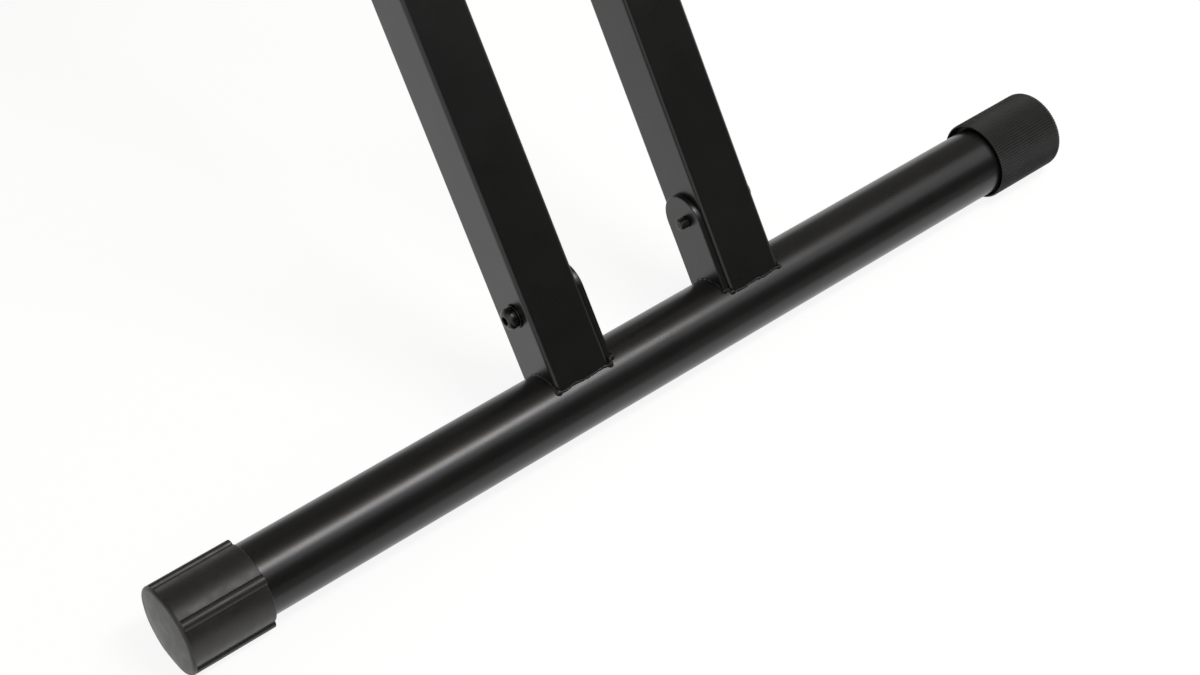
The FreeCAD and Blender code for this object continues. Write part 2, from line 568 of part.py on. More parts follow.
def main():
    """Build every node and write one STEP file for each."""
    nodes = {}
    nodes.update(stand_frame("right", PIVOT_R))
    nodes.update(stand_frame("left", PIVOT_R + SLIDING_FIT))
    lock = lock_pieces()
    x, z = on_lock_circle(LEAN)
    sleeve_hole = rod(LOCK_SLEEVE_R, -2 * OUTER_FACE, 0, x, z)
    nodes["left_front_leg"] = [nodes["left_front_leg"][0].cut(sleeve_hole)]
    nodes.update(lock)
    nodes["pivot_bolt"] = [pivot_bolt()]
    nodes["pivot_nut"] = [pivot_nut()]
    nodes["pivot_washers"] = pivot_washers()
    nodes["pivot_spacer"] = [pivot_spacer()]
    nodes["friction_washers"] = friction_washers()
    nodes["index_disc"] = [index_disc()]
    os.makedirs("parts", exist_ok=True)
    for name, solids in nodes.items():
        shape = solids[0] if len(solids) == 1 else Part.makeCompound(solids)
        shape.exportStep(os.path.join("parts", name + ".step"))
        print(name, len(shape.Solids), "solids", shape.isValid(), round(shape.Volume, 1))


main()
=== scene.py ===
import json
import math

import bmesh
import bpy
import numpy as np
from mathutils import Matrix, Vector


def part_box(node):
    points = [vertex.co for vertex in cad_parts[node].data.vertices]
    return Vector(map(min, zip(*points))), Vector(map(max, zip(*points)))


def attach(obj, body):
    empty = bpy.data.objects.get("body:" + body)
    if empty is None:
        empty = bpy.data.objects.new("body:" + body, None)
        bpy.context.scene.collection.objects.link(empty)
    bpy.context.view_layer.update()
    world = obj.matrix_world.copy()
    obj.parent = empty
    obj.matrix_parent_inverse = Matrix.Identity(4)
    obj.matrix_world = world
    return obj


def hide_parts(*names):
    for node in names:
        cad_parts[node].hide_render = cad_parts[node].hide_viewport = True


# Folding keyboard stand: two alike frames, crossed on one pivot bolt. Everything is in metres, in the
# stand's axes: X the way it opens, Y along the feet, Z up from the floor.
#
# Most shapes are worked out in a frame's own axes: x square to the legs towards the stand's outside,
# y along the foot tube from midway between the legs, z along the legs from the foot tube's axis.

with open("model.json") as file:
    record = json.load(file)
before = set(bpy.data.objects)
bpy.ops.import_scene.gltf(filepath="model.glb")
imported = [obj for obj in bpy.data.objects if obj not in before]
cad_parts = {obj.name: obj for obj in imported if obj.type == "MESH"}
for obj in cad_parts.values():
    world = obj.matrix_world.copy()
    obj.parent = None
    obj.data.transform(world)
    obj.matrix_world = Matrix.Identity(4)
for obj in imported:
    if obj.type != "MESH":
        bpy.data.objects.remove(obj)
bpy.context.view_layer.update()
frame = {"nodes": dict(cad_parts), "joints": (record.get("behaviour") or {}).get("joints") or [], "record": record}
record = frame["record"]
joints = {joint["name"]: joint for joint in frame["joints"]}
body_of_node = {node: body for body, nodes in record["behaviour"]["bodies"].items() for node in nodes}
slot_of_node = {part["node"]: part["material_slot"] for part in record["subparts"]}

# ---- places read from the frame ----------------------------------------------------------------------
PIVOT = np.array(joints["fold"]["pos_m"])
FOOT = np.array(joints["right_leveller_turn"]["pos_m"])
LEAN = math.atan2(FOOT[0], PIVOT[2] - FOOT[2])
PIVOT_TO_TUBE = math.hypot(FOOT[0], PIVOT[2] - FOOT[2])
front_leg, rear_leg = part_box("right_front_leg"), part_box("right_rear_leg")
FRAME_SHIFT = (front_leg[0].y + rear_leg[1].y) / 2      # middle of the right frame's legs
LEG_PITCH = rear_leg[1].y - front_leg[1].y
LEG_WIDTH = front_leg[1].y - front_leg[0].y
LEG_HALF = LEG_WIDTH / 2
OUTER_FACE = rear_leg[1].y                              # outermost leg faces, from the middle
FOOT_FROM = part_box("right_foot_tube")[0].y - FRAME_SHIFT
FOOT_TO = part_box("right_foot_tube")[1].y - FRAME_SHIFT
REST_HALF_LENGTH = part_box("right_rest_tube")[1].y

# ---- sizes -------------------------------------------------------------------------------------------
MM = 0.001
TUBE_R = 17.5 * MM
TUBE_WALL = 1.2 * MM
LEG_WALL = 1.2 * MM
LEG_CORNER_R = 2.5 * MM
TAB_WIDTH = 26.5 * MM
TAB_THICKNESS = 3.0 * MM
TAB_EDGE_R = 0.5 * MM
SCREW_HEIGHT = 47.7 * MM
SCREW_FORWARD = 2.0 * MM
SCREW_R = 3.0 * MM
SCREW_TIP = 4.3 * MM
SCREW_HEAD_R = 5.25 * MM
SCREW_HEAD_HEIGHT = 3.2 * MM
SOCKET_WIDTH = 4.0 * MM
SOCKET_DEPTH = 2.0 * MM
FLAT_WASHER_R = 6.0 * MM
FLAT_WASHER = 1.0 * MM
SPRING_WASHER_R = 5.1 * MM
SPRING_WASHER = 1.3 * MM
CAP_TURN = math.radians(15.0)
CAP_HALF = 20.6 * MM
CAP_CORNER_R = 18.7 * MM
CAP_PANEL_R = 19.2 * MM
CAP_DROP = 0.55 * MM                # middle of the cap from the tube's axis, away from the legs
CAP_GRIP = 39.6 * MM
CAP_END_WALL = 3.9 * MM
CAP_FLANGE = 2.9 * MM
CAP_RIB_HALF = 2.8 * MM
CAP_RIB_FLANK = 0.5 * MM
CAP_RIB_CROWN = 1.15 * MM           # how much lower a rib is at its flanks than along its middle
CAP_DOME_R = 160.0 * MM
CAP_EDGE_R = 1.6 * MM
LEVELLER_R = 20.5 * MM
LEVELLER_GRIP = 40.1 * MM
LEVELLER_END = 4.4 * MM             # closed end past the tube's end
LEVELLER_MIDDLE = (-0.29 * MM, 0.54 * MM)   # of the cap, from the tube's axis
LEVELLER_LIP = 0.9 * MM
LEVELLER_RECESS = 6.0 * MM
LEVELLER_RIBS = 90
LEVELLER_RIB_DEPTH = 0.62 * MM
LEVELLER_RIM_R = 0.8 * MM
LEVELLER_EDGE_R = 3.6 * MM
SLEEVE_R = 20.5 * MM
SLEEVE_FROM = OUTER_FACE + 11.3 * MM
STOP_GRIP = 14.0 * MM
STOP_R = 21.0 * MM
STOP_FLANGE_R = 26.0 * MM
STOP_FLANGE = 8.0 * MM
STOP_END_WALL = 3.0 * MM
STOP_EDGE_R = 2.5 * MM

# ---- the photograph's camera and the lamps -----------------------------------------------------------
CAMERA_AT = (0.8177, -0.4774, 0.7568)
CAMERA_LOOKS = (-0.5540, 0.4502, -0.7002)
CAMERA_LENS = 66.36                 # on a sensor 36 mm wide


# ---- mesh helpers ------------------------------------------------------------------------------------
def placed(points, side, end="foot"):
    """Points of a frame's own axes put in the stand's axes: leaned by LEAN about Y and moved to the foot.
    At the rest end the joint is turned half round the pivot first; the left frame is turned half round Z."""
    x, y, z = np.moveaxis(np.asarray(points, float), -1, 0)
    if end == "rest":
        x = -x
        z = 2 * PIVOT_TO_TUBE - z
    world = np.stack([FOOT[0] + x * math.cos(LEAN) - z * math.sin(LEAN),
                      y + FRAME_SHIFT,
                      FOOT[2] + x * math.sin(LEAN) + z * math.cos(LEAN)], -1)
    return world * (-1, -1, 1) if side == "left" else world


def grid(points, wrap_u=False, wrap_v=False):
    """A rectangular grid of points as (vertices, quads), joined round in either direction if asked."""
    nu, nv = points.shape[:2]
    i = np.arange(nu if wrap_u else nu - 1)[:, None]
    j = np.arange(nv if wrap_v else nv - 1)[None, :]
    i_next = (i + 1) % nu
    j_next = (j + 1) % nv
    quads = np.stack([i * nv + j, i_next * nv + j, i_next * nv + j_next, i * nv + j_next], -1)
    return points.reshape(-1, 3), quads.reshape(-1, 4)


def rounded(corners, closed=False, steps=5):
    """Line through corners (a, b, radius). Each corner becomes an arc that touches both of its lines, with
    one more point on either side of it so that shading stays flat beyond."""
    points = []
    count = len(corners)
    for i, (a, b, radius) in enumerate(corners):
        here = np.array([a, b], float)
        if radius == 0 or (not closed and i in (0, count - 1)):
            points.append(here)
            continue
        back = np.array(corners[i - 1][:2], float) - here
        on = np.array(corners[(i + 1) % count][:2], float) - here
        room = 0.45 * min(np.linalg.norm(back), np.linalg.norm(on))
        back /= np.linalg.norm(back)
        on /= np.linalg.norm(on)
        half = 0.5 * math.acos(np.clip(back @ on, -1, 1))
        reach = min(radius / math.tan(half), room)
        arc_r = reach * math.tan(half)
        middle = here + (back + on) / np.linalg.norm(back + on) * arc_r / math.sin(half)
        from_middle = here + back * reach - middle
        start = math.atan2(from_middle[1], from_middle[0])
        from_middle = here + on * reach - middle
        sweep = (math.atan2(from_middle[1], from_middle[0]) - start + math.pi) % (2 * math.pi) - math.pi
        turn = start + sweep * np.linspace(0, 1, steps + 1)
        beyond = 1 + 0.1 * min(1, room / reach)
        points.append(here + back * reach * beyond)
        points.extend(middle + arc_r * np.stack([np.cos(turn), np.sin(turn)], -1))
        points.append(here + on * reach * beyond)
    return np.array(points)


def lathe(profile, steps=96, x=0.0, z=0.0):
    """Grid of a profile (radius, y) turned about an axis along Y: x = r cos t, z = r sin t."""
    turn = np.linspace(0, 2 * math.pi, steps, endpoint=False)
    radius = profile[:, :1]
    return np.stack([x + radius * np.cos(turn), profile[:, 1:] + 0 * turn, z + radius * np.sin(turn)], -1)


def ring_profile(outer, inner, y0, y1, edge):
    """Closed profile of a round ring with rounded edges."""
    return rounded([(outer, y0, edge), (outer, y1, edge), (inner, y1, edge / 2), (inner, y0, edge / 2)], True)


def ring(outer, inner, y0, y1, edge, steps=96, x=0.0, z=0.0):
    """Shell of a round ring with rounded edges, about an axis along Y."""
    return grid(lathe(ring_profile(outer, inner, y0, y1, edge), steps, x, z), True, True)


def moved(shell, place):
    """The same shell with its vertices sent through a function of points."""
    return place(shell[0]), shell[1]


def build(name, shells, material, node, sharp=38):
    """One object from several shells, smooth but for edges sharper than an angle. It rides with a CAD node's
    body, wears the finish it is given and stands for it."""
    verts, quads, count = [], [], 0
    for points, faces in shells:
        verts.append(points)
        quads.append(faces + count)
        count += len(points)
    verts = np.concatenate(verts).astype(np.float32)
    quads = np.concatenate(quads).astype(np.int32)
    mesh = bpy.data.meshes.new(name)
    mesh.vertices.add(len(verts))
    mesh.vertices.foreach_set("co", verts.ravel())
    mesh.loops.add(quads.size)
    mesh.loops.foreach_set("vertex_index", quads.ravel())
    mesh.polygons.add(len(quads))
    mesh.polygons.foreach_set("loop_start", np.arange(0, quads.size, 4, dtype=np.int32))
    mesh.polygons.foreach_set("loop_total", np.full(len(quads), 4, np.int32))
    mesh.update(calc_edges=True)
    whole = bmesh.new()
    whole.from_mesh(mesh)
    bmesh.ops.remove_doubles(whole, verts=whole.verts, dist=1e-6)
    bmesh.ops.recalc_face_normals(whole, faces=whole.faces)
    whole.to_mesh(mesh)
    whole.free()
    mesh.polygons.foreach_set("use_smooth", np.ones(len(mesh.polygons), bool))
    mesh.set_sharp_from_angle(angle=math.radians(sharp))
    mesh.materials.append(material)
    piece = bpy.data.objects.new(name, mesh)
    bpy.context.scene.collection.objects.link(piece)
    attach(piece, body_of_node[node])
    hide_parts(node)


# ---- materials ---------------------------------------------------------------------------------------
class Finish:
    """A node material with a Principled shader, and short ways to add noise, colour ramps and bump."""

    def __init__(self, name, colour, roughness, metallic=0.0, specular=0.5):
        self.material = bpy.data.materials.new(name)
        self.material.use_nodes = True
        self.tree = self.material.node_tree
        self.shader = self.tree.nodes["Principled BSDF"]
        self.shader.inputs["Base Color"].default_value = (*colour, 1)
        self.shader.inputs["Roughness"].default_value = roughness
        self.shader.inputs["Metallic"].default_value = metallic
        self.shader.inputs["Specular IOR Level"].default_value = specular
        self.place = self.tree.nodes.new("ShaderNodeTexCoord").outputs["Object"]
        self.last_bump = None

    def link(self, source, target):
        self.tree.links.new(source, target)

    def noise(self, scale, detail=2.0, stretch=(1, 1, 1)):
        """Noise over the object, so many to the metre, stretched by a Mapping node."""
        mapping = self.tree.nodes.new("ShaderNodeMapping")
        mapping.inputs["Scale"].default_value = stretch
        self.link(self.place, mapping.inputs["Vector"])
        noise = self.tree.nodes.new("ShaderNodeTexNoise")
        noise.inputs["Scale"].default_value = scale
        noise.inputs["Detail"].default_value = detail
        self.link(mapping.outputs["Vector"], noise.inputs["Vector"])
        return noise.outputs["Fac"]

    def ramp(self, value, low, high, at=(0.35, 0.65)):
        """Colour that goes from low to high as a value goes between two places."""
        ramp = self.tree.nodes.new("ShaderNodeValToRGB")
        for element, place, colour in zip(ramp.color_ramp.elements, at, (low, high)):
            element.position = place
            element.color = (*colour, 1)
        self.link(value, ramp.inputs["Fac"])
        return ramp.outputs["Color"]

    def between(self, value, low, high):
        """A number that goes from low to high as a value goes from 0.3 to 0.7."""
        span = self.tree.nodes.new("ShaderNodeMapRange")
        span.inputs["From Min"].default_value = 0.3
        span.inputs["From Max"].default_value = 0.7
        span.inputs["To Min"].default_value = low
        span.inputs["To Max"].default_value = high
        self.link(value, span.inputs["Value"])
        return span.outputs["Result"]

    def bump(self, height, depth, strength=1.0):
        """Bump from a height, as deep as told in metres, over any bump that is there already."""
        bump = self.tree.nodes.new("ShaderNodeBump")
        bump.inputs["Distance"].default_value = depth
        bump.inputs["Strength"].default_value = strength
        self.link(height, bump.inputs["Height"])
        if self.last_bump is not None:
            self.link(self.last_bump, bump.inputs["Normal"])
        self.last_bump = bump.outputs["Normal"]
        self.link(self.last_bump, self.shader.inputs["Normal"])


def black_coat():
    """Satin powder coat: near black, a fine orange peel and a slow drift in gloss."""
    finish = Finish("black_coat", (0.0105, 0.0103, 0.0100), 0.29)
    drift = finish.noise(14, 3)
    finish.link(finish.ramp(drift, (0.0090, 0.0088, 0.0086), (0.0120, 0.0118, 0.0114)),
                finish.shader.inputs["Base Color"])
    finish.link(finish.between(finish.noise(60, 4), 0.27, 0.31), finish.shader.inputs["Roughness"])
    finish.bump(finish.noise(900, 2), 0.000012)
    finish.bump(finish.noise(160, 1), 0.00002)
    return finish.material


def weld_coat():
    """The same coat where it has run thick and glossy over the weld."""
    finish = Finish("weld_coat", (0.007, 0.007, 0.0068), 0.3, specular=0.35)
    finish.bump(finish.noise(700, 4), 0.0002, 0.6)
    return finish.material


def cap_rubber():
    """Smooth moulded rubber, warm black, with a soft sheen and fine grain."""
    finish = Finish("cap_rubber", (0.0185, 0.0172, 0.0152), 0.4)
    finish.link(finish.ramp(finish.noise(35, 4), (0.0165, 0.0154, 0.0136), (0.0210, 0.0195, 0.0172)),
                finish.shader.inputs["Base Color"])
    finish.link(finish.between(finish.noise(220, 4), 0.38, 0.48), finish.shader.inputs["Roughness"])
    finish.bump(finish.noise(2600, 2), 0.00001)
    return finish.material


def ribbed_rubber():
    """Dull rubber of the levelling cap."""
    finish = Finish("ribbed_rubber", (0.014, 0.0138, 0.0133), 0.48, specular=0.4)
    finish.link(finish.ramp(finish.noise(90, 4), (0.012, 0.0118, 0.0114), (0.017, 0.0168, 0.0162)),
                finish.shader.inputs["Base Color"])
    finish.bump(finish.noise(2200, 3), 0.000008)
    return finish.material


def black_steel():
    """Black oxide on steel: dark metal with a glossy, slightly blotched skin."""
    finish = Finish("black_steel", (0.035, 0.034, 0.032), 0.27, 0.85)
    finish.link(finish.ramp(finish.noise(400, 4), (0.022, 0.0215, 0.02), (0.06, 0.058, 0.054)),
                finish.shader.inputs["Base Color"])
    finish.link(finish.between(finish.noise(900, 3), 0.2, 0.38), finish.shader.inputs["Roughness"])
    finish.bump(finish.noise(1800, 2), 0.00001)
    return finish.material


def nylon():
    """Black nylon of bushes and friction washers."""
    finish = Finish("nylon", (0.03, 0.03, 0.03), 0.5)
    finish.link(finish.between(finish.noise(500, 3), 0.44, 0.56), finish.shader.inputs["Roughness"])
    finish.bump(finish.noise(1500, 2), 0.00001)
    return finish.material


def knob_plastic():
    """Finely textured black plastic of the plunger's knob."""
    finish = Finish("knob_plastic", (0.018, 0.018, 0.018), 0.45)
    finish.link(finish.between(finish.noise(300, 3), 0.4, 0.52), finish.shader.inputs["Roughness"])
    finish.bump(finish.noise(2500, 2), 0.00003)
    return finish.material


def spring_steel():
    """Bright drawn wire."""
    finish = Finish("spring_steel", (0.5, 0.5, 0.49), 0.28, 1.0)
    finish.link(finish.between(finish.noise(800, 3), 0.22, 0.36), finish.shader.inputs["Roughness"])
    return finish.material


FINISHES = {maker.__name__: maker() for maker in (black_coat, weld_coat, cap_rubber, ribbed_rubber,
                                                  black_steel, nylon, knob_plastic, spring_steel)}


# ---- tubes and legs ----------------------------------------------------------------------------------
def square_outline(half, corner_r, per_corner=8):
    """Rounded square in (x, y): straight sides with points crowded towards their ends, and arcs."""
    straight = half - corner_r
    along = straight * np.concatenate([[-1, -0.985], np.linspace(-0.92, 0.92, 15), [0.985]])
    turn = np.linspace(0, math.pi / 2, per_corner, endpoint=False)
    arc = straight + corner_r * np.stack([np.cos(turn), np.sin(turn)], -1)
    quarter = np.concatenate([np.stack([np.full(len(along), half), along], -1), arc])
    a, b = quarter[:, 0], quarter[:, 1]
    return np.concatenate([quarter, np.stack([-b, a], -1), np.stack([-a, -b], -1), np.stack([b, -a], -1)])


def leg(side, node, y):
    """Square tube between the foot tube and the rest tube: at x it runs from the circle
    z = sqrt(R^2 - x^2) of one tube to the same circle of the other, outside and inside."""
    rows = np.array([0, 0.002, 0.05, 0.5, 0.95, 0.998, 1])[:, None]
    skins = []
    for half, corner_r, order in ((LEG_HALF, LEG_CORNER_R, 1), (LEG_HALF - LEG_WALL, LEG_WALL, -1)):
        outline = square_outline(half, corner_r)
        saddle = np.sqrt(TUBE_R ** 2 - outline[:, 0] ** 2)
        z = saddle + rows * (2 * PIVOT_TO_TUBE - 2 * saddle)
        skin = np.stack([outline[:, 0] + 0 * z, y + outline[:, 1] + 0 * z, z], -1)
        skins.append(skin[::order])
    shell = grid(placed(np.concatenate(skins), side), True, True)
    build(node + "_tube", [shell], FINISHES["black_coat"], node)


def round_tube(side, node, y0, y1, z):
    """Plain round tube with eased ends."""
    shell = ring(TUBE_R, TUBE_R - TUBE_WALL, y0, y1, 0.3 * MM, 192, 0, z)
    build(node + "_round", [moved(shell, lambda p: placed(p, side))], FINISHES["black_coat"], node)


# ---- what joins a leg to a tube ----------------------------------------------------------------------
def tab_shell(face_y, way):
    """Plate with a half-round top: its outline is drawn towards a line up its middle, and the same outline
    shrunk by 1 - sin b and raised by 1 - cos b makes the rounded edges."""
    half = TAB_WIDTH / 2
    turn = np.linspace(0, math.pi, 41)
    climb = np.linspace(0, 1, 12, endpoint=False)
    foot = math.sqrt(TUBE_R ** 2 - half ** 2) - 0.4 * MM
    right = np.stack([np.full(12, half), foot + climb * (SCREW_HEIGHT - foot)], -1)
    top = np.stack([half * np.cos(turn), SCREW_HEIGHT + half * np.sin(turn)], -1)
    left = right[::-1] * (-1, 1)
    across = np.linspace(-1, 1, 25)[1:-1] * half
    bottom = np.stack([across, np.sqrt(TUBE_R ** 2 - across ** 2) - 0.4 * MM], -1)
    outline = np.concatenate([right, top, left, bottom])
    spine = np.stack([0 * outline[:, 0], np.clip(outline[:, 1], TUBE_R + 4 * MM, SCREW_HEIGHT)], -1)
    inwards = spine - outline
    inwards /= np.linalg.norm(inwards, axis=1, keepdims=True)
    turn = np.linspace(0, math.pi / 2, 6)
    near = [(TAB_EDGE_R * (1 - math.sin(b)), TAB_EDGE_R * (1 - math.cos(b))) for b in turn]
    near.insert(0, (TAB_EDGE_R * 1.4, 0.0))
    far = [(inset, TAB_THICKNESS - height) for inset, height in near[::-1]]
    rows = [np.column_stack([spine[:, 0], np.zeros(len(spine)), spine[:, 1]])]
    for inset, height in near + far:
        edge = outline + inwards * inset
        rows.append(np.column_stack([edge[:, 0], np.full(len(edge), height), edge[:, 1]]))
    rows.append(rows[0] + (0, TAB_THICKNESS, 0))
    points = np.array(rows)
    points[..., 1] = face_y + way * points[..., 1]
    return grid(points, False, True)


def hex_radius(turn, across_flats):
    """Distance from the middle to a hexagon's side, at an angle: half the width / cos of the angle folded
    into one side."""
    folded = (turn + math.pi / 6) % (math.pi / 3) - math.pi / 6
    return across_flats / 2 / np.cos(folded)


def screw_shell():
    """Button-head screw along +y, its head's underside at y = 0. Rows of circles make the head, rows of
    hexagons its socket, and the tip's rows add a ridge whose phase is y / pitch + angle / turn."""
    turn = np.linspace(0, 2 * math.pi, 72, endpoint=False)
    socket = hex_radius(turn, SOCKET_WIDTH)
    floor_y = SCREW_HEAD_HEIGHT - SOCKET_DEPTH
    crown_r = 2.7 * MM
    rows = [(0 * turn, floor_y - 0.4 * MM), (0.5 * socket, floor_y - 0.1 * MM), (0.98 * socket, floor_y),
            (socket, floor_y + 0.1 * MM), (socket, SCREW_HEAD_HEIGHT - 0.35 * MM),
            (1.03 * socket, SCREW_HEAD_HEIGHT - 0.12 * MM),
            (0 * turn + 1.2 * SOCKET_WIDTH / 2, SCREW_HEAD_HEIGHT),
            (0 * turn + crown_r, SCREW_HEAD_HEIGHT)]
    rim_y = 0.7 * MM
    for b in np.linspace(0.12, 1, 10) * math.pi / 2:
        rows.append((crown_r + (SCREW_HEAD_R - crown_r) * math.sin(b) + 0 * turn,
                     rim_y + (SCREW_HEAD_HEIGHT - rim_y) * math.cos(b)))
    rows += [(SCREW_HEAD_R + 0 * turn, 0.25 * MM), (SCREW_HEAD_R - 0.25 * MM + 0 * turn, 0.0)]
    shank = LEG_WIDTH + TAB_THICKNESS + FLAT_WASHER + SPRING_WASHER
    rows += [(SCREW_R + 0 * turn, 0.0), (SCREW_R + 0 * turn, -2 * MM), (SCREW_R + 0 * turn, 2 * MM - shank)]
    pitch = 1.0 * MM
    depth = 0.55 * MM
    chamfer = 0.9 * MM
    tip = -(shank + SCREW_TIP)
    for y in np.arange(1.5 * MM - shank, tip, -pitch / 10):
        phase = (y / pitch + turn / (2 * math.pi)) % 1
        ridge = np.clip(1.25 - 2.5 * np.abs(phase - 0.5), 0, 1)
        outer = SCREW_R - depth + depth * ridge
        rows.append((np.minimum(outer, SCREW_R - depth * 1.1 + (y - tip)), y))
    rows += [(SCREW_R - 1.2 * depth - chamfer * 0.3 + 0 * turn, tip), (0 * turn, tip)]
    points = np.array([np.stack([r * np.cos(turn), y + 0 * turn, r * np.sin(turn)], -1) for r, y in rows])
    return grid(points, False, True)


def spring_washer_shell():
    """Split washer: a square section carried round 350 degrees, its ends 0.25 mm apart along y."""
    turn = np.radians(np.linspace(96, 96 + 346, 80))[:, None]
    section = rounded([(SCREW_R + 0.2 * MM, 0, 0.15 * MM), (SPRING_WASHER_R, 0, 0.25 * MM),
                       (SPRING_WASHER_R, SPRING_WASHER - 0.2 * MM, 0.25 * MM),
                       (SCREW_R + 0.2 * MM, SPRING_WASHER - 0.2 * MM, 0.15 * MM)], True, 3)
    rise = np.linspace(0, 0.2 * MM, 80)[:, None]
    skin = np.stack([section[:, 0] * np.cos(turn), section[:, 1] + rise, section[:, 0] * np.sin(turn)], -1)
    ends = [np.repeat(skin[i].mean(0)[None, None], len(section), 1) for i in (0, -1)]
    return grid(np.concatenate([ends[0], skin, ends[1]]), False, True)


def on_leg(shell, way):
    """A fastener drawn along +y at the origin, put on a leg's outer face."""
    def place(points):
        return points * (1, way, 1) + (SCREW_FORWARD, way * (LEG_PITCH / 2 + LEG_HALF), SCREW_HEIGHT)
    return moved(shell, place)


def weld_shell(way, seed):
    """Bead round the foot of a leg and its tab, on the tube. Its middle line is a loop in (x, y) laid on the
    tube, z = sqrt(R^2 - x^2). Its radius is a small one plus waves, with a lump near every corner."""
    random = np.random.RandomState(seed)
    outer = LEG_PITCH / 2 + LEG_HALF
    inner = LEG_PITCH / 2 - LEG_HALF
    tab = inner - TAB_THICKNESS
    leg_x = LEG_HALF - 0.2 * MM
    tab_x = TAB_WIDTH / 2
    corners = np.array([(leg_x, outer), (leg_x, inner), (tab_x, inner - 1 * MM), (tab_x, tab), (-tab_x, tab),
                        (-tab_x, inner - 1 * MM), (-leg_x, inner), (-leg_x, outer)])
    loop = np.concatenate([corners, corners[:1]])
    length = np.concatenate([[0], np.cumsum(np.linalg.norm(np.diff(loop, axis=0), axis=1))])
    count = int(length[-1] / (0.4 * MM))
    along = np.linspace(0, length[-1], count, endpoint=False)
    x = np.interp(along, length, loop[:, 0])
    y = np.interp(along, length, loop[:, 1])
    whole_turns = 2 * math.pi * along / length[-1]
    wander = [random.uniform(-0.25, 0.25) * MM * np.sin(k * whole_turns + 2 * math.pi * random.rand())
              for k in (9, 14, 23)]
    x = x + sum(wander)
    x = np.clip(x, -TUBE_R * 0.93, TUBE_R * 0.93)
    line = np.stack([x, y, np.sqrt(TUBE_R ** 2 - x ** 2)], -1)
    radius = 0.62 * MM * np.ones(count)
    for k in (17, 31, 47, 71):
        radius += random.uniform(0.03, 0.1) * MM * np.sin(k * whole_turns + 2 * math.pi * random.rand())
    for corner in length[[0, 1, 3, 4, 6, 7]]:
        apart = np.abs((along - corner + length[-1] / 2) % length[-1] - length[-1] / 2)
        lump = random.uniform(0.5, 1.15) * MM
        radius += lump * np.exp(-(apart / (random.uniform(1.3, 2.2) * MM)) ** 2)
    forward = np.roll(line, -2, 0) - np.roll(line, 2, 0)
    forward /= np.linalg.norm(forward, axis=1, keepdims=True)
    up = np.stack([x, 0 * x, line[:, 2]], -1) / TUBE_R
    out = np.cross(forward, up)
    out /= np.linalg.norm(out, axis=1, keepdims=True)
    turn = np.linspace(0, 2 * math.pi, 14, endpoint=False)
    rough = 1 + 0.1 * np.sin(3 * turn + along[:, None] / (1.3 * MM)) * np.sin(along[:, None] / (0.9 * MM))
    reach = radius[:, None] * rough
    points = (line[:, None] + (reach * np.cos(turn))[..., None] * out[:, None]
              + (reach * np.sin(turn))[..., None] * up[:, None])
    return grid(points * (1, way, 1), True, True)


def tube_joint(side, end):
    """Tabs, screws, washers and welds of both legs at one tube."""
    stem = side + "_" + end + "_"
    ways = (-1, 1)

    def put(name, shells, finish, **extra):
        shells = [moved(shell, lambda p: placed(p, side, end)) for shell in shells]
        build(name, shells, FINISHES[finish], stem + extra.pop("node"), **extra)

    inner = LEG_PITCH / 2 - LEG_HALF
    put(stem + "joint_tabs", [tab_shell(way * inner, -way) for way in ways], "black_coat", node="tabs")
    flat = ring(FLAT_WASHER_R, SCREW_R + 0.2 * MM, 0, FLAT_WASHER, 0.2 * MM, 64)
    put(stem + "plain_washers", [on_leg(flat, way) for way in ways], "black_steel", node="flat_washers")
    split = moved(spring_washer_shell(), lambda p: p + (0, FLAT_WASHER, 0))
    put(stem + "split_washers", [on_leg(split, way) for way in ways], "black_steel", node="spring_washers")
    screw = moved(screw_shell(), lambda p: p + (0, FLAT_WASHER + SPRING_WASHER, 0))
    put(stem + "button_screws", [on_leg(screw, way) for way in ways], "black_steel", node="screws", sharp=32)
    seed = 10 * ("left", "right").index(side) + 3 * ("foot", "rest").index(end)
    put(stem + "weld_beads", [weld_shell(way, seed + i) for i, way in enumerate(ways)], "weld_coat",
        node="welds", sharp=70)


# ---- foot caps ---------------------------------------------------------------------------------------
def square_radius(turn, half, corner_r):
    """Distance from the middle to a rounded square, at an angle from the middle of a side: half / cos on
    the side, and on the corner's circle the root of |p - corner middle| = corner radius."""
    folded = np.abs((turn + math.pi / 4) % (math.pi / 2) - math.pi / 4)
    straight = half - corner_r
    c, s = np.cos(folded), np.sin(folded)
    on_arc = straight * (c + s) + np.sqrt(np.maximum(corner_r ** 2 - straight ** 2 * (c - s) ** 2, 0))
    return np.where(half * np.tan(folded) <= straight, half / c, on_arc)


def smooth(value, low, high):
    """0 below low, 1 above high, and a smooth step between."""
    share = np.clip((value - low) / (high - low), 0, 1)
    return share * share * (3 - 2 * share)


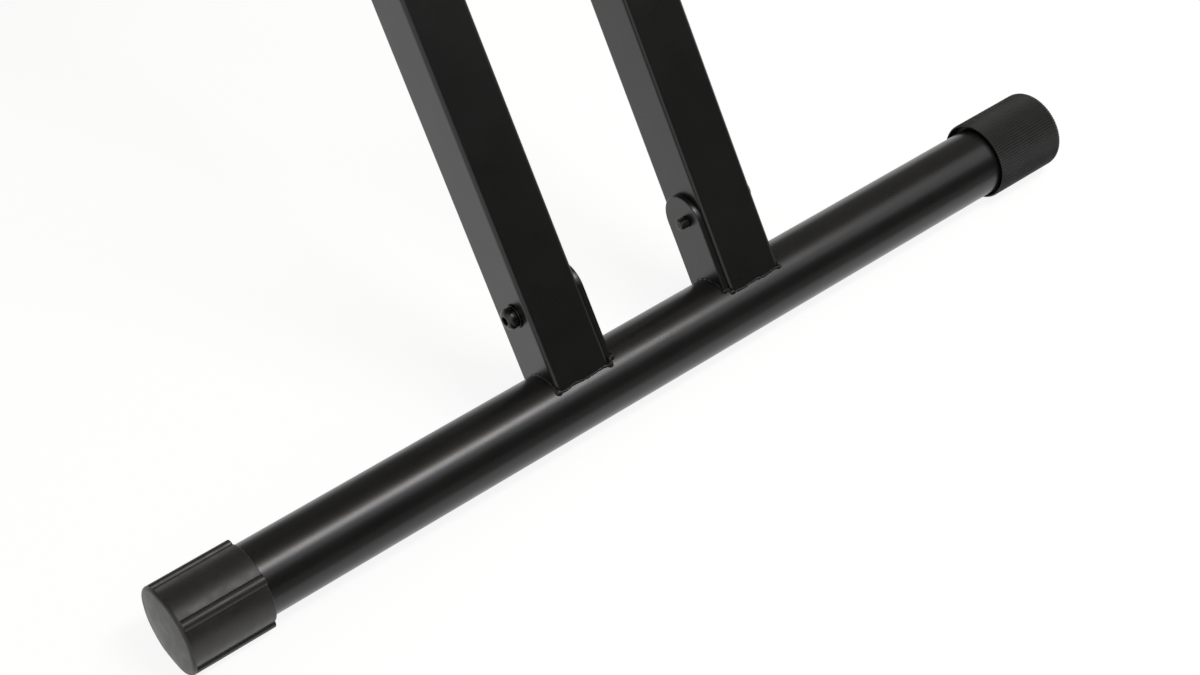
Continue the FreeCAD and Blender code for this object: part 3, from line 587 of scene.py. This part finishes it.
def lobed_cap(side):
    """Cap with four ribs: its outside is a radius over (angle, y). The flange is a rounded square; past it
    the panels are round, and within the ribs' width the flange's shape goes on, lower by the square of the
    distance from the rib's middle. The closed end is a shallow dome, and the floor flattens the underside."""
    near_rib = np.concatenate([np.linspace(-45, -10.2, 13), np.linspace(-9.4, -6.4, 13),
                               np.linspace(-5.6, 5.6, 11), np.linspace(6.4, 9.4, 13),
                               np.linspace(10.2, 45, 13, endpoint=False)])
    turn = np.radians(np.concatenate([near_rib + 90 * k for k in range(4)])) + CAP_TURN
    from_side = turn - CAP_TURN - math.pi / 4
    from_rib = (turn - CAP_TURN + math.pi / 4) % (math.pi / 2) - math.pi / 4
    flange = square_radius(from_side, CAP_HALF, CAP_CORNER_R)
    beside = np.abs(flange * np.sin(from_rib))
    on_rib = 1 - smooth(beside, CAP_RIB_HALF - CAP_RIB_FLANK / 2, CAP_RIB_HALF + CAP_RIB_FLANK / 2)
    rib = flange - CAP_RIB_CROWN * (beside / CAP_RIB_HALF) ** 2
    body = CAP_PANEL_R + (rib - CAP_PANEL_R) * on_rib
    end = FOOT_FROM - CAP_END_WALL
    mouth = FOOT_FROM + CAP_GRIP
    step = end + CAP_FLANGE

    def sag(radius):
        return CAP_DOME_R - np.sqrt(CAP_DOME_R ** 2 - radius ** 2)

    rim = flange - CAP_EDGE_R
    rim_y = end + sag(rim)
    rows = [(share * rim, end + sag(share * rim)) for share in (0, 0.25, 0.5, 0.75, 0.93, 0.985)]
    for b in np.linspace(0, math.pi / 2, 9):
        rows.append((rim + CAP_EDGE_R * math.sin(b), rim_y + CAP_EDGE_R * (1 - math.cos(b))))
    past = rim_y + CAP_EDGE_R
    for share in np.linspace(0.1, 1, 10):
        rows.append((flange + (body - flange) * smooth(share, 0, 1),
                     past + (step + 0.3 * MM - past) * share))
    lip = 0.5 * MM
    for y in np.concatenate([[step + 0.6 * MM], np.linspace(step + 4 * MM, mouth - 2 * MM, 6),
                             [mouth - 0.7 * MM]]):
        rows.append((body, 0 * turn + y))
    for b in np.linspace(0, math.pi / 2, 6):
        rows.append((body - lip * (1 - math.cos(b)), 0 * turn + mouth - lip + lip * math.sin(b)))
    outside = len(rows)
    bore = 0 * turn + TUBE_R + 0.02 * MM
    rows += [(bore + 0.2 * MM, 0 * turn + mouth), (bore, 0 * turn + mouth - 0.2 * MM),
             (bore, 0 * turn + FOOT_FROM), (0 * turn, 0 * turn + FOOT_FROM)]
    points = np.array([np.stack([r * np.cos(turn), y, r * np.sin(turn)], -1) for r, y in rows])
    points[:outside, :, 2] -= CAP_DROP
    world = placed(points, side)
    world[..., 2] = np.maximum(world[..., 2], 0)
    node = side + "_foot_end_cap"
    build(side + "_lobed_cap", [grid(world, False, True)], FINISHES["cap_rubber"], node, sharp=50)


def levelling_cap(side):
    """Ribbed cap, its middle off the tube's. Each row has a radius, a place along y, how deep its grooves
    are and how far its circle has moved to the tube's own axis. The grooves are 1 - |cos(ribs * angle / 2)|,
    and the floor flattens the underside."""
    mouth = FOOT_TO - LEVELLER_GRIP
    end = FOOT_TO + LEVELLER_END
    straight = LEVELLER_R - LEVELLER_EDGE_R
    rows = [(0, end, 0, 0), (straight * 0.6, end, 0, 0), (straight - 0.6 * MM, end, 0, 0)]
    for b in np.linspace(0, math.pi / 2, 8):
        rows.append((straight + LEVELLER_EDGE_R * math.sin(b), end - LEVELLER_EDGE_R * (1 - math.cos(b)),
                     0.25 + 0.75 * math.sin(b), 0))
    rows += [(LEVELLER_R, end - LEVELLER_EDGE_R - 0.3 * MM, 1, 0), (LEVELLER_R, (end + mouth) / 2, 1, 0),
             (LEVELLER_R, mouth + LEVELLER_RIM_R + 0.2 * MM, 1, 0)]
    for b in np.linspace(0, math.pi / 2, 7):
        rows.append((LEVELLER_R - LEVELLER_RIM_R * (1 - math.cos(b)),
                     mouth + LEVELLER_RIM_R * (1 - math.sin(b)), 1 - b / (math.pi / 2), 0))
    recess = LEVELLER_R - LEVELLER_LIP
    bore = TUBE_R + 0.06 * MM
    rows += [(recess + 0.12 * MM, mouth, 0, 0), (recess, mouth + 0.15 * MM, 0, 0),
             (recess, mouth + LEVELLER_RECESS, 0, 0), (bore, mouth + LEVELLER_RECESS, 0, 1),
             (bore, FOOT_TO + 0.3 * MM, 0, 1), (0, FOOT_TO + 0.3 * MM, 0, 1)]
    radius, y, groove, to_tube = (column[:, None] for column in np.array(rows, float).T)
    turn = np.linspace(0, 2 * math.pi, 8 * LEVELLER_RIBS, endpoint=False)
    straight_down = math.atan2(-math.cos(LEAN), -math.sin(LEAN))
    ribs = 1 - np.abs(np.cos(LEVELLER_RIBS * (turn - straight_down) / 2))
    radius = radius - LEVELLER_RIB_DEPTH * groove * ribs
    x, z = (middle * (1 - to_tube) for middle in LEVELLER_MIDDLE)
    points = np.stack([x + radius * np.cos(turn), y + 0 * turn, z + radius * np.sin(turn)], -1)
    world = placed(points, side)
    world[..., 2] = np.maximum(world[..., 2], 0)
    node = side + "_foot_leveller"
    build(side + "_levelling_cap", [grid(world, False, True)], FINISHES["ribbed_rubber"], node, sharp=75)


# ---- rests -------------------------------------------------------------------------------------------
def rest_ends(side):
    """Rubber sleeves and flanged stops at both ends of a rest tube."""
    start = SLEEVE_FROM
    end = REST_HALF_LENGTH - STOP_GRIP
    sleeve = rounded([(TUBE_R, start, 0), (SLEEVE_R, start, 1 * MM),
                      (SLEEVE_R, end, 0.4 * MM), (TUBE_R, end, 0)])
    stop_end = REST_HALF_LENGTH + STOP_END_WALL
    flange = stop_end - STOP_FLANGE
    stop = rounded([(0, REST_HALF_LENGTH, 0), (TUBE_R, REST_HALF_LENGTH, 0.1 * MM), (TUBE_R, end, 0.1 * MM),
                    (STOP_R, end, 0.4 * MM), (STOP_R, flange, 1.2 * MM),
                    (STOP_FLANGE_R, flange, STOP_EDGE_R), (STOP_FLANGE_R, stop_end, STOP_EDGE_R),
                    (0, stop_end, 0)], steps=7)

    def both(profile, wrap):
        shells = []
        for way in (-1, 1):
            points = lathe(profile * (1, way), 128)
            points = points - (0, FRAME_SHIFT, 0)
            shells.append(grid(placed(points, side, "rest"), wrap, True))
        return shells

    build(side + "_rest_grips", both(sleeve, True), FINISHES["ribbed_rubber"], side + "_rest_sleeves")
    build(side + "_rest_stops", both(stop, False), FINISHES["cap_rubber"], side + "_rest_end_stops")


# ---- one frame, and both -----------------------------------------------------------------------------
def stand_frame(side):
    """Tubes, legs, joints, caps and rests of one frame."""
    legs = {"right": ("front", "rear"), "left": ("rear", "front")}[side]
    for way, name in zip((-1, 1), legs):
        leg(side, side + "_" + name + "_leg", way * LEG_PITCH / 2)
    round_tube(side, side + "_foot_tube", FOOT_FROM, FOOT_TO, 0)
    round_tube(side, side + "_rest_tube", -REST_HALF_LENGTH - FRAME_SHIFT, REST_HALF_LENGTH - FRAME_SHIFT,
               2 * PIVOT_TO_TUBE)
    tube_joint(side, "foot")
    tube_joint(side, "rest")
    lobed_cap(side)
    levelling_cap(side)
    rest_ends(side)


stand_frame("right")
stand_frame("left")

for node, piece in frame["nodes"].items():
    if not piece.hide_render:
        piece.data.materials.clear()
        piece.data.materials.append(FINISHES[slot_of_node[node]])


# ---- floor, world, lamps and camera ------------------------------------------------------------------
def shows_white(tree, lit, white):
    """Mixes a lit shader with plain white light wherever the camera, a reflection or clear glass sees it."""
    path = tree.nodes.new("ShaderNodeLightPath")
    seen = path.outputs["Is Camera Ray"]
    for name in ("Is Glossy Ray", "Is Transmission Ray"):
        either = tree.nodes.new("ShaderNodeMath")
        either.operation = "MAXIMUM"
        tree.links.new(seen, either.inputs[0])
        tree.links.new(path.outputs[name], either.inputs[1])
        seen = either.outputs[0]
    mix = tree.nodes.new("ShaderNodeMixShader")
    tree.links.new(seen, mix.inputs["Fac"])
    tree.links.new(lit, mix.inputs[1])
    tree.links.new(white, mix.inputs[2])
    return mix.outputs["Shader"]


def floor():
    """Wide pale floor. It glows almost white, and its own lit share keeps the stand's shadow."""
    half = 9.0
    mesh = bpy.data.meshes.new("floor")
    corners = [(-half, -half, 0), (half, -half, 0), (half, half, 0), (-half, half, 0)]
    mesh.from_pydata(corners, [], [(0, 1, 2, 3)])
    material = bpy.data.materials.new("floor_white")
    material.use_nodes = True
    tree = material.node_tree
    tree.nodes.clear()
    diffuse = tree.nodes.new("ShaderNodeBsdfDiffuse")
    diffuse.inputs["Color"].default_value = (0.82, 0.82, 0.82, 1)
    faint = tree.nodes.new("ShaderNodeBsdfDiffuse")
    faint.inputs["Color"].default_value = (0.2, 0.2, 0.2, 1)
    glow = tree.nodes.new("ShaderNodeEmission")
    glow.inputs["Strength"].default_value = 0.88
    both = tree.nodes.new("ShaderNodeAddShader")
    tree.links.new(faint.outputs[0], both.inputs[0])
    tree.links.new(glow.outputs[0], both.inputs[1])
    output = tree.nodes.new("ShaderNodeOutputMaterial")
    tree.links.new(shows_white(tree, diffuse.outputs[0], both.outputs[0]), output.inputs["Surface"])
    mesh.materials.append(material)
    plane = bpy.data.objects.new("floor", mesh)
    bpy.context.scene.collection.objects.link(plane)


def surroundings():
    """World: plain grey light, white where it is seen."""
    world = bpy.data.worlds.new("studio")
    bpy.context.scene.world = world
    world.use_nodes = True
    tree = world.node_tree
    grey = tree.nodes["Background"]
    grey.inputs["Color"].default_value = (0.37, 0.36, 0.345, 1)
    white = tree.nodes.new("ShaderNodeBackground")
    white.inputs["Color"].default_value = (1, 1, 1, 1)
    output = tree.nodes["World Output"]
    tree.links.new(shows_white(tree, grey.outputs[0], white.outputs[0]), output.inputs["Surface"])


def lamp(name, at, aim, size, radiance, colour):
    """Soft box at a place, turned to a point, its first side level; its power is radiance x pi x area."""
    light = bpy.data.lights.new(name, "AREA")
    light.shape = "RECTANGLE"
    light.size, light.size_y = size
    light.energy = radiance * math.pi * size[0] * size[1]
    light.color = colour
    box = bpy.data.objects.new(name, light)
    box.location = at
    box.rotation_mode = "QUATERNION"
    box.rotation_quaternion = (Vector(aim) - Vector(at)).to_track_quat("-Z", "Y")
    box.visible_camera = False
    bpy.context.scene.collection.objects.link(box)


def card(name, corners, grey):
    """Flat card beside the stand, seen only in reflections: it keeps the black parts that face it dark."""
    mesh = bpy.data.meshes.new(name)
    mesh.from_pydata(corners, [], [(0, 1, 2, 3)])
    material = bpy.data.materials.new(name)
    material.use_nodes = True
    material.node_tree.nodes["Principled BSDF"].inputs["Base Color"].default_value = (grey, grey, grey, 1)
    mesh.materials.append(material)
    plane = bpy.data.objects.new(name, mesh)
    bpy.context.scene.collection.objects.link(plane)
    plane.visible_camera = False
    plane.visible_diffuse = False
    plane.visible_shadow = False


def camera():
    """The photograph's view: no roll, centred, lens as fitted to the foot's edges."""
    data = bpy.data.cameras.new("photo_view")
    data.lens = CAMERA_LENS
    data.sensor_width = 36.0
    eye = bpy.data.objects.new("photo_view", data)
    eye.location = CAMERA_AT
    eye.rotation_mode = "QUATERNION"
    eye.rotation_quaternion = Vector(CAMERA_LOOKS).to_track_quat("-Z", "Y")
    bpy.context.scene.collection.objects.link(eye)
    bpy.context.scene.camera = eye


floor()
surroundings()
lamp("key_warm", (0.66, 0.40, 1.367), (0.256, 0.40, 0.02), (0.70, 0.12), 19.0, (1.0, 0.90, 0.77))
lamp("key_cool", (0.81, 0.40, 1.315), (0.256, 0.40, 0.02), (0.70, 0.13), 15.0, (0.82, 0.87, 1.0))
card("dark_card", [(1.7, -1.1, 0.02), (1.7, 3.2, 0.02), (1.5, 3.2, 1.15), (1.5, -1.1, 1.15)], 0.02)
card("grey_card", [(0.31, -0.2, 0.004), (1.7, -0.2, 0.004), (1.7, 3.2, 0.004), (0.31, 3.2, 0.004)], 0.42)
card("roof_card", [(0.3, -2.0, 2.2), (0.3, 4.0, 2.2), (-2.2, 4.0, 0.4), (-2.2, -2.0, 0.4)], 0.5)
camera()
bpy.context.scene.view_settings.view_transform = "Standard"
